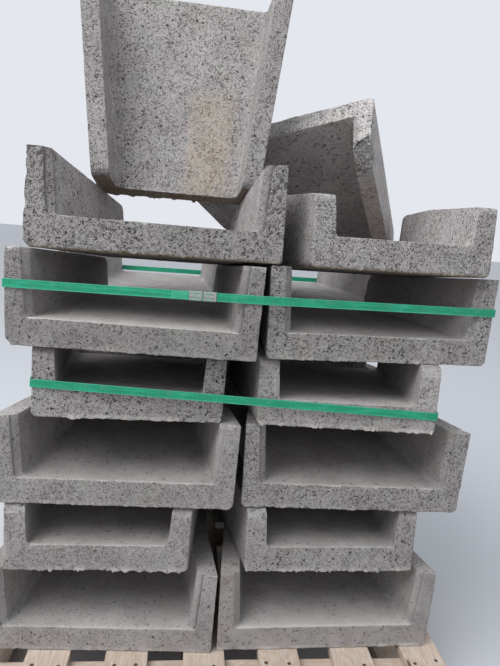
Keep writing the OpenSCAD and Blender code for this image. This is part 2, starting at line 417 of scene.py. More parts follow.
# A tray's shell in box coordinates: s goes along the U from the left wall's top to the right one's, t from
# outside to inside, and y from the wide end to the narrow one. The walls end CORNER_Z above the underside,
# and the floor begins CORNER_REACH inside the inner faces
WALL_S, CORNER_S, FLOOR_S = 112.0, 90.0, 348.0
SPAN = 2 * (WALL_S + CORNER_S) + FLOOR_S
THICK = 48.0
CORNER_Z, CORNER_REACH = 88.0, 33.0


def tray_axis_s(step):
    """Places along the U, close together, and which of them a rough row keeps."""
    wall = np.concatenate([[0, 1, 2.2, 3.8, 6, 8.8], np.linspace(12, WALL_S, 8 * round(12.5 / step) + 1)])
    corner = WALL_S + CORNER_S * np.linspace(0, 1, 8 * round(12 / step) + 1)[1:]
    floor = np.linspace(WALL_S + CORNER_S, SPAN / 2, 4 * round(43.5 / step) + 1)[1:]
    half = np.concatenate([wall, corner, floor])
    keep = np.zeros(len(half), bool)
    keep[[0, 2, 4]] = True
    keep[6:len(wall):4] = True
    keep[len(wall) - 1:len(wall) + len(corner):2] = True
    keep[len(wall) + len(corner) - 1::4] = True
    return np.concatenate([half, SPAN - half[-2::-1]]), np.concatenate([keep, keep[-2::-1]])


def tray_axis_t():
    """Places through the thickness, and which of them a rough row keeps."""
    t = np.array([0, 1.1, 2.5, 4.4, 6.8, 9.6, 12.6, 15.6, 18.6, 21.3])
    t = np.concatenate([t, [THICK / 2], THICK - t[::-1]])
    keep = np.zeros(len(t), bool)
    keep[[0, 2, 4, 7, 10, 13, 16, 18, 20]] = True
    return t, keep


def tray_rows(kind, step):
    """Rows from the wide end to the narrow one, close together at the ends, as [(y, fine)]."""
    wide_end = [0, 0.8, 1.8, 2.8, 3.6, 4.4, 5.2, 6.2, 7.8, 10, 12.2, 13.5, 14.5, 16, 18.5]
    narrow_end = [0, 0.9, 2.1, 3.7, 5.8, 8.4, 11.6, 15.4]
    rough_wide = [0, 1.2, 2.8, 4.4, 6.2, 10, 13.2, 14.6, 20]
    rough_narrow = [0, 1, 2.4, 4.5, 7.5, 11.5, 16.5]
    fine = kind == "upright"
    lo = [(y, True) for y in wide_end] if kind in ("wide", "leaning") else [(y, fine) for y in rough_wide]
    lo += [(y, True) for y in np.linspace(24, 90, 13)] if kind == "leaning" else [(24, fine)]
    seen = kind in ("narrow", "upright")
    hi = [(y, seen) for y in (narrow_end if seen else rough_narrow)]
    hi = [(LENGTH - y, dense) for y, dense in (hi + [(21.5, fine), (26, fine)])[::-1]]
    count = int((hi[0][0] - lo[-1][0]) / step)
    return lo + [(y, fine) for y in np.linspace(lo[-1][0], hi[0][0], count + 1)[1:-1]] + hi


def tray_shell(kind, s_step, y_step):
    s, keep_s = tray_axis_s(s_step)
    t, keep_t = tray_axis_t()
    if kind == "rear":
        s, t = s[keep_s | (np.arange(len(s)) % 2 == 0)], t[keep_t]
        keep_s, keep_t = np.ones(len(s), bool), np.ones(len(t), bool)
    return shell(s, keep_s, t, keep_t, tray_rows(kind, y_step))


# How far apart a shell's points are along s and along y, away from its edges
SHELL_STEPS = dict(wide=(3.1, 19), narrow=(3.1, 19), rear=(3.1, 24), upright=(4.2, 5.2), leaning=(4.2, 19))
SHELLS = {kind: tray_shell(kind, *steps) for kind, steps in SHELL_STEPS.items()}


def half_width(wall, slope, f):
    """Half the width at the floor's height. f goes from 0 at the wide end to 1 at the narrow one."""
    wide = WIDE_W / 2 - wall - (WIDE_H - FLOOR_T) * slope
    narrow = NARROW_W / 2 - wall - (NARROW_H - FLOOR_T) * slope
    return wide * (1 - f) + narrow * f


def wall_top(left, t, y, look):
    """The walls' height, rounded at the narrow end. The wide one can be worn, or its left corner broken."""
    line = WIDE_H + (NARROW_H - WIDE_H) * (y / LENGTH)
    far, worn = look.far, look.worn_wide
    cy = LENGTH - far
    cz = WIDE_H + (NARROW_H - WIDE_H) * cy / LENGTH - far / math.cos(SLOPE)
    arc = cz + np.sqrt(np.maximum(far ** 2 - (y - cy) ** 2, 0))
    top = np.where(y > cy + far * math.sin(SLOPE), arc, line)
    nose = 1 - np.sqrt(1 - np.clip(1 - y / (1.3 * worn + 1), 0, 1) ** 2)
    top = top - worn * (0.35 * step_up(y, 260, 0) + nose)
    high, long = look.broken
    slant = high + 22 * (0.5 - t / THICK)
    return np.where(left, np.minimum(top, WIDE_H - slant * (1 - y / long)), top) if high else top


def straight_runs(u, stops, points):
    """x and z at u, on straight lines through points that lie at the stops."""
    x, z = np.zeros_like(u), np.zeros_like(u)
    for a, b, (x0, z0), (x1, z1) in zip(stops[:-1], stops[1:], points[:-1], points[1:]):
        on = (u >= a) & (u <= b)
        w = (u - a) / (b - a)
        x, z = np.where(on, x0 + (x1 - x0) * w, x), np.where(on, z0 + (z1 - z0) * w, z)
    return x, z


def outer_corner(u, half, floor_x, foot):
    """From the wall down over the chamfered foot to the underside."""
    over = (half - (FLOOR_T - foot) * TAN_OUT, foot)
    under = (half - foot - FLOOR_T * TAN_OUT, 0)
    start = (half + (CORNER_Z - FLOOR_T) * TAN_OUT, CORNER_Z)
    return straight_runs(u, (0, 0.42, 0.58, 1.0001), [start, over, under, (floor_x, 0)])


def inner_corner(u, half, floor_x, fillet):
    """From the wall down through the hollow corner to the floor."""
    reach = fillet * math.tan(math.radians(45 - DRAFT_IN / 2))
    high = fillet * (1 - math.sin(math.radians(DRAFT_IN)))
    start = (half + (CORNER_Z - FLOOR_T) * TAN_IN, CORNER_Z)
    x, z = straight_runs(u, (0, 0.25, 0.75, 1.0001), [start, (half + high * TAN_IN, FLOOR_T + high),
                                                      (half - reach, FLOOR_T), (floor_x, FLOOR_T)])
    angle = np.radians(DRAFT_IN + (90 - DRAFT_IN) * np.clip((u - 0.25) / 0.5, 0, 1))
    bend = (u > 0.25) & (u < 0.75)
    return (np.where(bend, half - reach + fillet * np.cos(angle), x),
            np.where(bend, FLOOR_T + fillet - fillet * np.sin(angle), z))


def tray_shape(p, look):
    """From the shell's s, t, y to x, y, z in the tray's own frame."""
    s, t, y = p.T
    m, left = np.minimum(s, SPAN - s), s < SPAN / 2
    outer, inner = half_width(0, TAN_OUT, y / LENGTH), half_width(WALL_T, TAN_IN, y / LENGTH)
    floor_x = inner - CORNER_REACH
    # The wide mouth's bevel, with the mould's groove along it and a slight ridge where it meets the wall
    groove = 5.2 * np.exp(-((y - 4.6) / 1.7) ** 2) - 1.6 * np.exp(-((y - 14.2) / 1.8) ** 2)
    inner = inner + np.maximum(0, BEVEL - y) + np.where(left, *look.groove) * groove
    u = (m - WALL_S) / CORNER_S
    ox, oz = outer_corner(u, outer, floor_x, np.where(left, *look.foot))
    ix, iz = inner_corner(u, inner, floor_x, look.fillet)
    top = wall_top(left, t, y, look)
    wall, wz = m <= WALL_S, top + (CORNER_Z - top) * m / WALL_S
    ox, oz = np.where(wall, outer + (wz - FLOOR_T) * TAN_OUT, ox), np.where(wall, wz, oz)
    ix, iz = np.where(wall, inner + (wz - FLOOR_T) * TAN_IN, ix), np.where(wall, wz, iz)
    floor, fx = u > 1, floor_x * (1 - (m - WALL_S - CORNER_S) / (FLOOR_S / 2))
    ox, oz = np.where(floor, fx, ox), np.where(floor, 0, oz)
    ix, iz = np.where(floor, fx, ix), np.where(floor, FLOOR_T, iz)
    # Some trays are wider at the foot, and some have a thicker floor, not evenly so from side to side
    ox = ox + np.where(left, *look.flare) * np.clip(1 - oz / WIDE_H, 0, 1) * (m < WALL_S + 0.6 * CORNER_S)
    w = t / THICK
    x = np.where(left, -1.0, 1.0) * (ox + (ix - ox) * w)
    at_left, at_right = look.floor
    iz = iz + (at_left + (at_right - at_left) * (x / WIDE_W + 0.5)) * step_up(iz, 150, FLOOR_T)
    return np.stack([x, y, oz + (iz - oz) * w], 1)


# A tray's look: how open its surface is at each place, its unevenness and wear, differences in its shape,
# pale dust that is partly painted light, tones, painted light and shade on its walls, floor and wall tops, and
# stains. A pair is for its left and right side, except that broken is the height and length of a piece that is
# broken off
LOOK = dict(open_end=0.8, open_floor=0.0, open_wall=0.35, open_out=0.0,
            lumps=0.6, ragged=1.0, wear=1.0, nose=0.0, worn_wide=0.0, broken=(0, 1),
            foot=(8, 8), far=FAR_R, fillet=9.0, flare=(0, 0), floor=(0, 0), groove=(0.5, 0.9),
            lip=0.5, dust=0.3, drift=0.0, grain=1.0, tone=1.0, walls=(1, 1), bed=1.0, tops=1.0,
            soil=None, clay=None)


def spots(p, z, look):
    """Where each point of the shell lies on the tray."""
    s, t, y = p.T
    at = SimpleNamespace(s=s, t=t, y=y, z=z, left=s < SPAN / 2)
    at.across, at.end = np.minimum(s, SPAN - s), np.minimum(y, LENGTH - y)
    at.on_end, at.inside, at.outside = at.end < 1e-6, t > THICK - 1e-6, t < 1e-6
    at.near = np.exp(-at.end / 9)
    at.floor = at.inside & (at.across > WALL_S + 60)
    at.mouth = at.inside & (y < 40) & (at.across < WALL_S + 60)
    at.bevel = at.mouth & (y < BEVEL)
    high, long = look.broken
    chip = (s < 70) * step_up(y, long + 8, long - 8) * step_up(z, WIDE_H - high - 12, WIDE_H - high)
    at.chip = chip * ~at.on_end if high else 0.0
    return at


def edge_radius(q, at, look):
    """How far the edges are worn round. The inner and lower outer ones stay sharper, apart from a nose."""
    low = step_up(at.z, 34, 6) * step_up(at.t, 30, 6)
    wear = look.wear * (0.4 + look.lumps)
    r = 2.6 + 0.9 * noise(q, 26, 1) + wear * 9 * step_up(noise(q, 30, 2), 0.45, 0.85)
    r = r + wear * 4 * step_up(noise(q, 12, 3), 0.4, 0.85)
    r = r * (1 - 0.35 * low) * (1 - 0.45 * (at.t > THICK * 0.6)) + look.nose * low * (at.end < 40)
    return np.maximum(r, 1.2)


def unevenness(q, at, look):
    """How far each point lies outside the even shape, in millimetres, and how much of a pit it is in."""
    rough = look.lumps * np.where(at.on_end | at.floor, 1.0, 0.4 + 0.6 * at.near)
    fine = np.maximum(np.maximum(at.near, look.open_floor * at.inside), at.chip)
    pit = step_up(noise(q, 7.0, 5), 0.40, 0.68) * step_up(noise(q, 36, 6), -0.5, 0.4) * look.lumps * fine
    d = 0.6 * (noise(q, 150, 7) - 1) + 0.5 * rough * (noise(q, 52, 14) - 0.5)
    d += (0.1 + 0.6 * rough) * fine * (noise(q, 11, 4) - 0.4) + 0.6 * rough * fine * (noise(q, 5.6, 8) - 0.4)
    d += at.worn * at.near * (1.2 * noise(q, 5.0, 9) - 0.5) - 2.2 * pit
    return d + at.chip * (3.0 * noise(q, 17, 15) + 1.5 * noise(q, 9, 16) - 2.0), pit


def ragged_flash(run, at, look):
    """The lower end edges, where mortar crept under the mould, and the crumbs of it along them."""
    beside = step_up(at.z, 9, 1) * step_up(at.end, 5, 0.5) * at.outside
    flash = np.maximum(beside, step_up(at.z, 7, 0.5) * at.on_end)
    return flash, look.ragged * np.maximum(0, 0.9 * noise(run, 4.4, 10) + 0.65 * noise(run, 15, 11) + 0.1)


def openness(at, look):
    """How open the surface is, from 0 for smooth to 1 for a coarse end, and more where it is broken."""
    end = look.open_end
    face = np.where(at.inside, look.open_wall + 0.3 * end * at.near, 0.35 + 0.35 * end)
    face = np.where(at.floor | ~at.inside, np.maximum(face, look.open_floor), face)
    face = np.where(at.floor, np.maximum(face, 0.75 * look.drift * step_up(at.end, 90, 60)), face)
    face = np.where(at.outside, np.maximum(face, look.open_out), face)
    face = np.where(at.on_end, end, np.where(at.bevel, 0.7 * end, face))
    return np.maximum(face, 1.6 * at.chip)


def soiling(q, at, look):
    """Faint grime, more of it underneath, and the earth that some trays have."""
    under = at.outside & (at.z < 3)
    soil = 0.25 * step_up(noise(q, 90, 12), 0.3, 0.9) * (0.4 + 0.6 * at.outside) + 0.4 * under
    return np.clip(np.maximum(soil, look.soil(q, at)) if look.soil else soil, 0, 1)


def pale_wear_and_light(q, run, at, flash, crumbs, soil, look):
    """Pale worn edges and flash, pale dust on the floor near its ends that is partly painted light, and a
    painted highlight along the floor's ends.
    """
    patches = np.clip(0.40 + 0.9 * noise(run, 22, 17) + 0.1 * crumbs, 0, 1.1)
    lip = look.lip * np.maximum(flash, step_up(at.z, 12, 6) * at.on_end) * patches
    # A painted highlight on the floor within 12 mm of its ends
    light = 0.5 * at.worn * at.near * (1 - at.chip) + lip + 0.45 * step_up(at.end, 12, 1) * at.floor
    # Pale dust on the floor near its ends, and with it painted light on the floor by the mouth
    dust = look.dust * np.exp(-at.end / 45) * (0.8 + 0.3 * noise(q, 60, 19))
    drift = look.drift * step_up(at.end + 14 * noise(q, 40, 20), 80, 48) * (0.8 + 0.35 * noise(q, 25, 29))
    return np.clip(light * (1 - 0.8 * soil) + (dust + drift) * at.floor, 0, 1)


def groove_shade(q, at, look):
    """Painted shade in the groove along the wide mouth's bevel."""
    deep = np.exp(-((at.y - 4.2) / 1.9) ** 2) * (0.8 + 0.4 * noise(q, 12, 18))
    return at.mouth * np.where(at.left, *look.groove) * deep


def tone_and_painted_light(q, at, look):
    """The tray's own tone, a little cloudy, and painted light and shade on its inner walls, bevel, floor, wall
    tops and broken face.
    """
    # The broken piece's face is darkened as painted shade
    tone = look.tone * (1 + 0.05 * noise(q, 240, 13)) * (1 - 0.16 * at.chip)
    wall = at.inside & ~at.mouth & (at.across < WALL_S + 40)
    # Painted light and shade on the inner walls by side, and painted shade on the bevel
    tone = tone * np.where(wall, np.where(at.left, *look.walls), np.where(at.bevel, 0.92, 1.0))
    # Painted light and shade on the floor and on the wall tops
    return tone * np.where(at.floor, look.bed, np.where(at.across < 9, look.tops, 1.0))


CONCRETE = concrete_material()


def tray(node, matrix, kind, seed, look):
    """One cast tray: the even shape, edges worn round, faces roughened, and its stains and painted light and
    shade as attributes.
    """
    look = SimpleNamespace(**{**LOOK, **look})
    p, faces = SHELLS[kind]
    offset = np.array([seed * 731.0 % 4000, seed * 397.0 % 3000, seed * 911.0 % 5000])
    even = tray_shape(p, look)
    at = spots(p, even[:, 2], look)
    moved = rounded(p, np.array([SPAN, THICK, LENGTH]), edge_radius(even + offset, at, look))
    at.worn = np.clip(np.linalg.norm(moved - p, axis=1) / 1.2, 0, 1)
    v = tray_shape(moved, look)
    q = v + offset
    d, pit = unevenness(q, at, look)
    v = v + normals_of(v, faces) * d[:, None]
    run = q * [1, 0, 0] + offset
    flash, crumbs = ragged_flash(run, at, look)
    v[:, 1] += np.where(at.y < LENGTH / 2, -1.0, 1.0) * 2.2 * flash * crumbs
    v[:, 2] -= 2.0 * flash * crumbs
    soil = soiling(q, at, look)
    # The pit attribute holds the pits and the painted shade in the mouth's groove
    ob = add_mesh(node + "_cast", v, faces, matrix, loc=(v + offset) / 1000 * look.grain,
                  face=openness(at, look), pit=np.maximum(pit, groove_shade(q, at, look)), soil=soil,
                  clay=look.clay(v, q, at) if look.clay else np.zeros(len(v)),
                  edge=pale_wear_and_light(q, run, at, flash, crumbs, soil, look), tone=tone_and_painted_light(q, at, look))
    settle(ob, CONCRETE, node)


def beige_patch(v, q, at):
    """A dry clay stain on the lower right of the upright tray's floor."""
    x = v[:, 0] + 5 * noise(q, 40, 21) + 3 * noise(q, 9, 22)
    y = v[:, 1] + 30 * noise(q, 50, 23)
    here = step_up(x, -8, -28) * step_up(x, -152, -112) * step_up(y, 190, 290)
    return at.inside * here * (0.8 + 0.2 * noise(q, 25, 24))


def brown_end(q, at):
    """Earth on the narrow end, as if it had stood in the ground."""
    here = (at.y > LENGTH / 2) & (at.t < THICK - 3)
    return here * step_up(at.end, 6, 0.5) * (0.85 + 0.15 * noise(q, 14, 25))


def brown_foot(q, at):
    """Damp earth under both ends, more of it towards the left side."""
    side = step_up(at.s, SPAN, 0)
    return step_up(at.z, 7, 1.5) * step_up(at.end, 150, 60) * (0.75 + 0.3 * side + 0.2 * noise(q, 20, 26))


def brown_wall(q, at):
    """A little earth on the ends of the left wall."""
    return 0.34 * step_up(at.s, 170, 120) * step_up(at.end, 30, 5) * (0.8 + 0.2 * noise(q, 20, 28))


def brown_top(q, at):
    """Earthy dust along the left wall's top."""
    return 0.45 * (at.s < 6) * step_up(at.y, 80, 150) * (0.8 + 0.2 * noise(q, 30, 27))


# How each front tray differs from LOOK, from the bottom row up
FRONT_LOOKS = {"front_left": [
    dict(open_end=0.48, lumps=0.25, ragged=0.8, foot=(5, 5), groove=(0.3, 1.2), lip=0.6, dust=0.45,
         tone=0.97),
    dict(open_end=0.6, lumps=0.35, ragged=1.8, foot=(5, 5), tone=0.94),
    dict(open_end=0.62, lumps=0.25, ragged=0.6, groove=(0.5, 0.3), lip=0.3, tone=0.99, tops=1.25),
    dict(open_end=0.7, lumps=0.35, ragged=1.4, lip=1.0, tone=0.94),
    dict(open_end=0.6, lumps=0.2, ragged=0.7, foot=(14, 4), groove=(0.2, 1), drift=0.7, tone=0.85, bed=1.3,
         tops=1.25),
    dict(open_end=0.95, open_wall=0.65, lumps=0.7, nose=3, foot=(14, 4), flare=(9, 4), floor=(9, 3),
         groove=(0.6, 1), lip=0.2, tone=0.86, walls=(1.44, 1.34), soil=brown_foot)
], "front_right": [
    dict(open_end=0.38, lumps=0.25, ragged=0.7, foot=(5, 5), groove=(0, 0.4), lip=0.9, dust=1.0, tone=0.97,
         soil=brown_wall),
    dict(open_end=0.58, lumps=0.35, ragged=1.9, foot=(5, 5), lip=0.7, tone=0.91),
    dict(lumps=0.25, ragged=0.8, groove=(0.3, 0.3), lip=0.3),
    dict(open_end=0.65, lumps=0.35, ragged=1.8, lip=0.8, tone=1.12),
    dict(open_end=0.75, lumps=0.3, ragged=0.8, groove=(0.1, 0.2), tone=1.01),
    dict(open_end=0.95, open_wall=0.9, open_out=0.95, lumps=0.45, wear=0.5, nose=3, worn_wide=36.0,
         far=13.0, floor=(7, 7), lip=0.1, tone=1.02, walls=(1.36, 0.90), soil=brown_foot)
]}
REAR_LOOK = dict(open_end=0.7)
UPRIGHT_LOOK = dict(open_floor=0.75, open_wall=0.6, ragged=2.2, fillet=27, dust=0.0, grain=0.95,
                    walls=(1.12, 1.12), bed=1.12, tops=0.97, clay=beige_patch, soil=brown_end)
LEANING_LOOK = dict(open_end=0.85, open_wall=0.5, broken=(50, 66), groove=(0, 0), dust=0.0, grain=0.8,
                    tone=1.35, soil=brown_top)

# The upright tray's place on the wall tops below it, its turn and its lean, and the leaning tray's place
# and its spins about z, y and x
UPRIGHT_AT, UPRIGHT_TURN, UPRIGHT_LEAN = (6, 381, -0.2), 3.6, 2.7
LEANING_AT, LEANING_SPINS = (143.1, -18.6, 1406.6), (148.3, 12.7, -140.8)


def build_column(name, column, rng):
    for row in range(len(column)):
        # The top left tray isn't turned
        turned = row % 2 == 1 and not (name == "front_left" and row == 5)
        matrix = place(column, row) @ (TURN if turned else np.eye(4))
        seed, tone = int(rng.integers(1, 900)), float(rng.uniform(0.97, 1.03))
        own = FRONT_LOOKS[name][row] if name in FRONT_LOOKS else REAR_LOOK
        kind = ("narrow" if turned else "wide") if name in FRONT_LOOKS else "rear"
        tray(f"{name}_tray_{row + 1}", matrix, kind, seed, {**own, "tone": tone * own.get("tone", 1.0)})


def build_trays():
    rng = np.random.default_rng(11)
    for name, column in COLUMNS.items():
        build_column(name, column, rng)
    on_top = place(COLUMNS["front_left"], 5) @ wall_tops(False) @ shift(*UPRIGHT_AT) @ spin(2, UPRIGHT_TURN)
    tray("upright_tray", on_top @ spin(0, 90 - UPRIGHT_LEAN) @ TURN, "upright", 77, UPRIGHT_LOOK)
    z, y, x = LEANING_SPINS
    leaning = shift(*LEANING_AT) @ spin(2, z) @ spin(1, y) @ spin(0, x)
    tray("leaning_tray", leaning, "leaning", 78, LEANING_LOOK)


build_trays()

# The pallet
ROWS, SIDES = ("front", "middle", "rear"), ("left", "middle", "right")
BOARD_COLOURS = (208, 193, 180), (196, 177, 160), (168, 147, 128)
BLOCK_COLOURS = (198, 180, 158), (184, 162, 138), (152, 130, 106)


def wood_material(name, pale, warm, dark):
    """Sawn wood with year rings drawn out along the grain, fibres and a few knots."""
    n = Nodes(name)
    at = n.attribute("loc")
    spot = n.cells(n.stretched(at, 4.5, 17.0, 17.0), 1.0)
    warp = n.times(n.ramp(spot, 0.55, 0.0), 0.35)
    rings = n.plus(n.noise(n.stretched(at, 1.0, 3.2, 3.2), 5.0, 3, 0.5, 0.6), warp)
    bands = n.math("PINGPONG", n.times(rings, 9.0), 0.5)
    fibre = n.noise(n.stretched(at, 18, 420, 420), 1.0, 3, 0.6)
    base = n.mix(n.ramp(bands, 0.0, 0.5), rgb(*pale), rgb(*warm))
    base = n.mix(n.ramp(fibre, 0.38, 0.66, 0.0, 0.45), base, rgb(*dark))
    base = n.mix(n.ramp(n.noise(at, 12, 3), 0.45, 0.75, 0.0, 0.35), base, rgb(168, 158, 146))
    base = n.mix(n.ramp(spot, 0.11, 0.05, 0.0, 0.9), base, rgb(104, 74, 48))
    base = n.mix(n.times(n.attribute("edge"), n.ramp(fibre, 0.3, 0.7, 0.25, 0.75)), base, rgb(142, 122, 100))
    grooves = n.bump(n.plus(fibre, n.times(bands, 0.6)), 0.0007, 0.9)
    rough = n.ramp(fibre, 0.3, 0.7, 0.62, 0.85)
    return n.surface(n.toned(base, n.attribute("tone")), rough, grooves, specular=0.3)


def spread(length, step, near=(0, 0.8, 2, 4, 7, 12)):
    """Places from 0 to a length, close together near both ends."""
    inner = np.linspace(near[-1], length - near[-1], max(2, int((length - 2 * near[-1]) / step) + 1))
    return np.concatenate([near[:-1], inner, length - np.array(near[:-1])[::-1]])


def plank(lo, hi, seed):
    """Points, faces and attributes of a sawn board between two corners, in millimetres."""
    size = hi - lo
    thin, wide, long = np.argsort(size)
    t, w = spread(size[thin], 7, (0, 0.8, 2, 4)), spread(size[wide], 8, (0, 0.8, 2, 4, 7))
    rows = [(v, True) for v in spread(size[long], 22)]
    p, faces = shell(w, np.ones(len(w), bool), t, np.ones(len(t), bool), rows)
    off = np.array([seed * 613.0 % 3000, seed * 271.0 % 2000, seed * 823.0 % 4000])
    dims = size[[wide, thin, long]]
    # In q, the grain runs along the first axis
    q = p[:, [2, 0, 1]] + off
    r = 1.5 + 0.8 * noise(q, 30, 1) + 5 * step_up(noise(q * [0.35, 1, 1], 16, 2), 0.5, 0.9)
    moved = rounded(p, dims, np.maximum(r, 0.8))
    ridges = noise(q * [0.05, 1, 1], 3.2, 3) + 0.6 * noise(q * [0.08, 1, 1], 7, 4)
    d = 0.28 * (ridges - 1.2) + 0.35 * (noise(q * [0.2, 1, 1], 60, 5) - 1)
    moved = moved - normals_of(moved, faces) * d[:, None]
    end = np.minimum(p[:, 2], dims[2] - p[:, 2])
    split = np.exp(-end / 5) * np.maximum(0, noise(q * [0, 1, 1] + off, 4.0, 6) + 0.2) * 2.2
    moved[:, 2] += np.where(p[:, 2] < dims[2] / 2, 1, -1) * split
    v, axes = np.empty_like(moved), np.zeros((3, 3))
    v[:, wide], v[:, thin], v[:, long] = moved.T
    axes[wide, 0] = axes[thin, 1] = axes[long, 2] = 1
    return v + lo, turned_over(faces) if np.linalg.det(axes) > 0 else faces, q / 1000, np.exp(-end / 3.5)


def wood_piece(node, boxes, material, rng):
    seed, tone = int(rng.integers(1, 900)), float(rng.uniform(0.93, 1.05))
    planks = [plank(*(np.array(c) * 1000 for c in box), seed + 17 * i) for i, box in enumerate(boxes)]
    v, faces = joined([made[:2] for made in planks])
    ob = add_mesh(node + "_sawn", v, faces, loc=np.concatenate([made[2] for made in planks]),
                  edge=np.concatenate([made[3] for made in planks]), tone=np.full(len(v), tone))
    settle(ob, material, node)


def nail_material():
    n = Nodes("nail_steel")
    rust = n.noise(n.add("ShaderNodeTexCoord").outputs["Object"], 300, 3, 0.6)
    colour = n.mix(n.ramp(rust, 0.4, 0.6), rgb(120, 112, 104), rgb(104, 66, 42))
    return n.surface(colour, n.ramp(rust, 0.4, 0.6, 0.45, 0.85), metallic=0.6)


# A nail head from its shank to its face: the radius and height of each ring, and the heights in its middle
NAIL_RINGS = (2.4, -1.6), (4.4, -1.1), (4.6, -0.7), (4.0, -0.45), (2.0, -0.40)
NAIL_MIDDLES = -1.6, -0.45
NAIL_SIDES = 16
# In metres: the nails' distance from a board's middle line and from its ends, and how far they stray
NAIL_OFF, NAIL_IN, NAIL_STRAY_X, NAIL_STRAY_Y = 0.026, 0.05, 0.006, 0.018


def tube_faces(m, rings, closed=False):
    """Faces between rings of m points each, and back to the first ring where the tube is a loop."""
    faces = []
    for i in range(rings if closed else rings - 1):
        j = (i + 1) % rings
        faces += [(i * m + k, i * m + (k + 1) % m, j * m + (k + 1) % m, j * m + k) for k in range(m)]
    return faces


def nail_head(x, y, z, up):
    """A nail head a little below the surface at z. up is -1 where it looks down."""
    turns = np.linspace(0, 2 * math.pi, NAIL_SIDES + 1)[:-1]
    rings = [np.column_stack([x + np.cos(turns) * radius, y + np.sin(turns) * radius * up,
                              np.full(NAIL_SIDES, z + lift * up)]) for radius, lift in NAIL_RINGS]
    middles = [[[x, y, z + lift * up]] for lift in NAIL_MIDDLES]
    sides = [(i, (i + 1) % NAIL_SIDES) for i in range(NAIL_SIDES)]
    end = len(rings) * NAIL_SIDES
    faces = tube_faces(NAIL_SIDES, len(rings)) + [(j, i, end, -1) for i, j in sides]
    faces += [(end - NAIL_SIDES + i, end - NAIL_SIDES + j, end + 1, -1) for i, j in sides]
    return np.concatenate(rings + middles), np.array(faces)


def nail_heads():
    """Two nails at every crossing on the deck, and two at every block under the bottom boards."""
    boards = [(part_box(f"deck_board_{i}"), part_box("cross_board_" + k), 1) for i in range(1, 8) for k in ROWS]
    boards += [(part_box("bottom_board_" + k), None, -1) for k in SIDES]
    rng = np.random.default_rng(5)
    heads = []
    for (lo, hi), across, up in boards:
        ends = [lo.y + NAIL_IN, (lo.y + hi.y) / 2, hi.y - NAIL_IN]
        z = hi.z if up > 0 else lo.z
        for x in [(lo.x + hi.x) / 2 + side * NAIL_OFF for side in (-1, 1)]:
            for y in [(across[0].y + across[1].y) / 2] if across else ends:
                stray_x = rng.uniform(-NAIL_STRAY_X, NAIL_STRAY_X)
                stray_y = rng.uniform(-NAIL_STRAY_Y, NAIL_STRAY_Y)
                heads.append(nail_head((x + stray_x) * 1000, (y + stray_y) * 1000, z * 1000, up))
    settle(add_mesh("nail_heads", *joined(heads)), nail_material())


def build_pallet():
    board = wood_material("pallet_board_wood", *BOARD_COLOURS)
    block = wood_material("pallet_block_wood", *BLOCK_COLOURS)
    rng = np.random.default_rng(3)
    names = [f"deck_board_{i}" for i in range(1, 8)] + ["cross_board_" + k for k in ROWS]
    for name in names + ["bottom_board_" + k for k in SIDES]:
        wood_piece(name, [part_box(name)], board, rng)
    for k in SIDES:
        lo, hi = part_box("blocks_" + k)
        w, depth = hi.x - lo.x, hi.y - lo.y
        boxes = [((lo.x, y, lo.z), (hi.x, y + w, hi.z)) for y in (lo.y, lo.y + (depth - w) / 2, hi.y - w)]
        wood_piece("blocks_" + k, boxes, block, rng)
    nail_heads()


build_pallet()

# The straps, in millimetres. Each is a loop in its own plane: its row, counted from 0, its height at the
# middle, and its slope in degrees, up to the back and down to the right
STRAP_W, STRAP_T, STRAP_GAP = 17.6, 1.0, 1.2
STRAPS = ("upper_strap", 4, 945, (-3, 0)), ("lower_strap", 3, 752, (0, 2))
SEAL_LEN, SEAL_GAP, SEAL_PLACE, SEAL_WALL = 27.0, 2.0, 0.76, 0.9
SEAL_OUT, TOOTH_STEP = 1.35, 4.4
TAIL_LEN, TAIL_OUT, TAIL_LIFT = 84, 36, 0.55


def strap_plane(z, tilt):
    """From the strap's own plane to the part frame."""
    return shift(0, 0, z) @ spin(1, tilt[1]) @ spin(0, tilt[0])


def strap_corners(column, row, frame_of):
    """Where the outer corner edges of a tray meet the strap's plane."""
    into = np.linalg.inv(frame_of) @ place(column, row)
    corners = []
    for side, back in ((-1, 0), (1, 0), (1, 1), (-1, 1)):
        half = half_width(0, TAN_OUT, int((row % 2 == 1) != bool(back)))
        low, high = (into @ np.array([side * (half + (z - FLOOR_T) * TAN_OUT), back * LENGTH, z, 1])
                     for z in (0, NARROW_H))
        corners.append((low - (high - low) * low[2] / (high[2] - low[2]))[:2])
    return corners


def hull(points):
    """The points' convex outline, anticlockwise from the leftmost one."""
    ring = np.array([points[i] for i in convex_hull_2d(points)])
    return np.roll(ring, -ring[:, 0].argmin(), axis=0)


def ribbon_path(points, radius, step=18.0):
    """A closed path at this distance outside the points' hull, as (x, y, outward x, outward y)."""
    ring = hull(points)
    path = []
    for i in range(len(ring)):
        a, b, c = ring[i - 1], ring[i], ring[(i + 1) % len(ring)]
        d0, d1 = (b - a) / np.linalg.norm(b - a), (c - b) / np.linalg.norm(c - b)
        a0, a1 = math.atan2(-d0[0], d0[1]), math.atan2(-d1[0], d1[1])
        turn = (a1 - a0) % (2 * math.pi)
        for w in np.linspace(0, 1, max(3, int(turn / 0.25) + 2)):
            u = np.array([math.cos(a0 + turn * w), math.sin(a0 + turn * w)])
            path.append((*(b + u * radius), *u))
        count = max(1, int(np.linalg.norm(c - b) / step))
        u = np.array([d1[1], -d1[0]])
        path += [(*(b + (c - b) * k / count + u * radius), *u) for k in range(1, count)]
    return np.array(path)


def strap_tube(m, rings, closed):
    """Faces of a tube that is a loop, or else is closed at both ends. Its rings run clockwise."""
    faces = tube_faces(m, rings, closed)
    for i, flip in () if closed else ((0, False), (rings - 1, True)):
        for k in range(m // 2 - 1):
            q = (i * m + k, i * m + m - 1 - k, i * m + m - 2 - k, i * m + k + 1)
            faces.append(q[::-1] if flip else q)
    return np.array(faces)[:, ::-1]


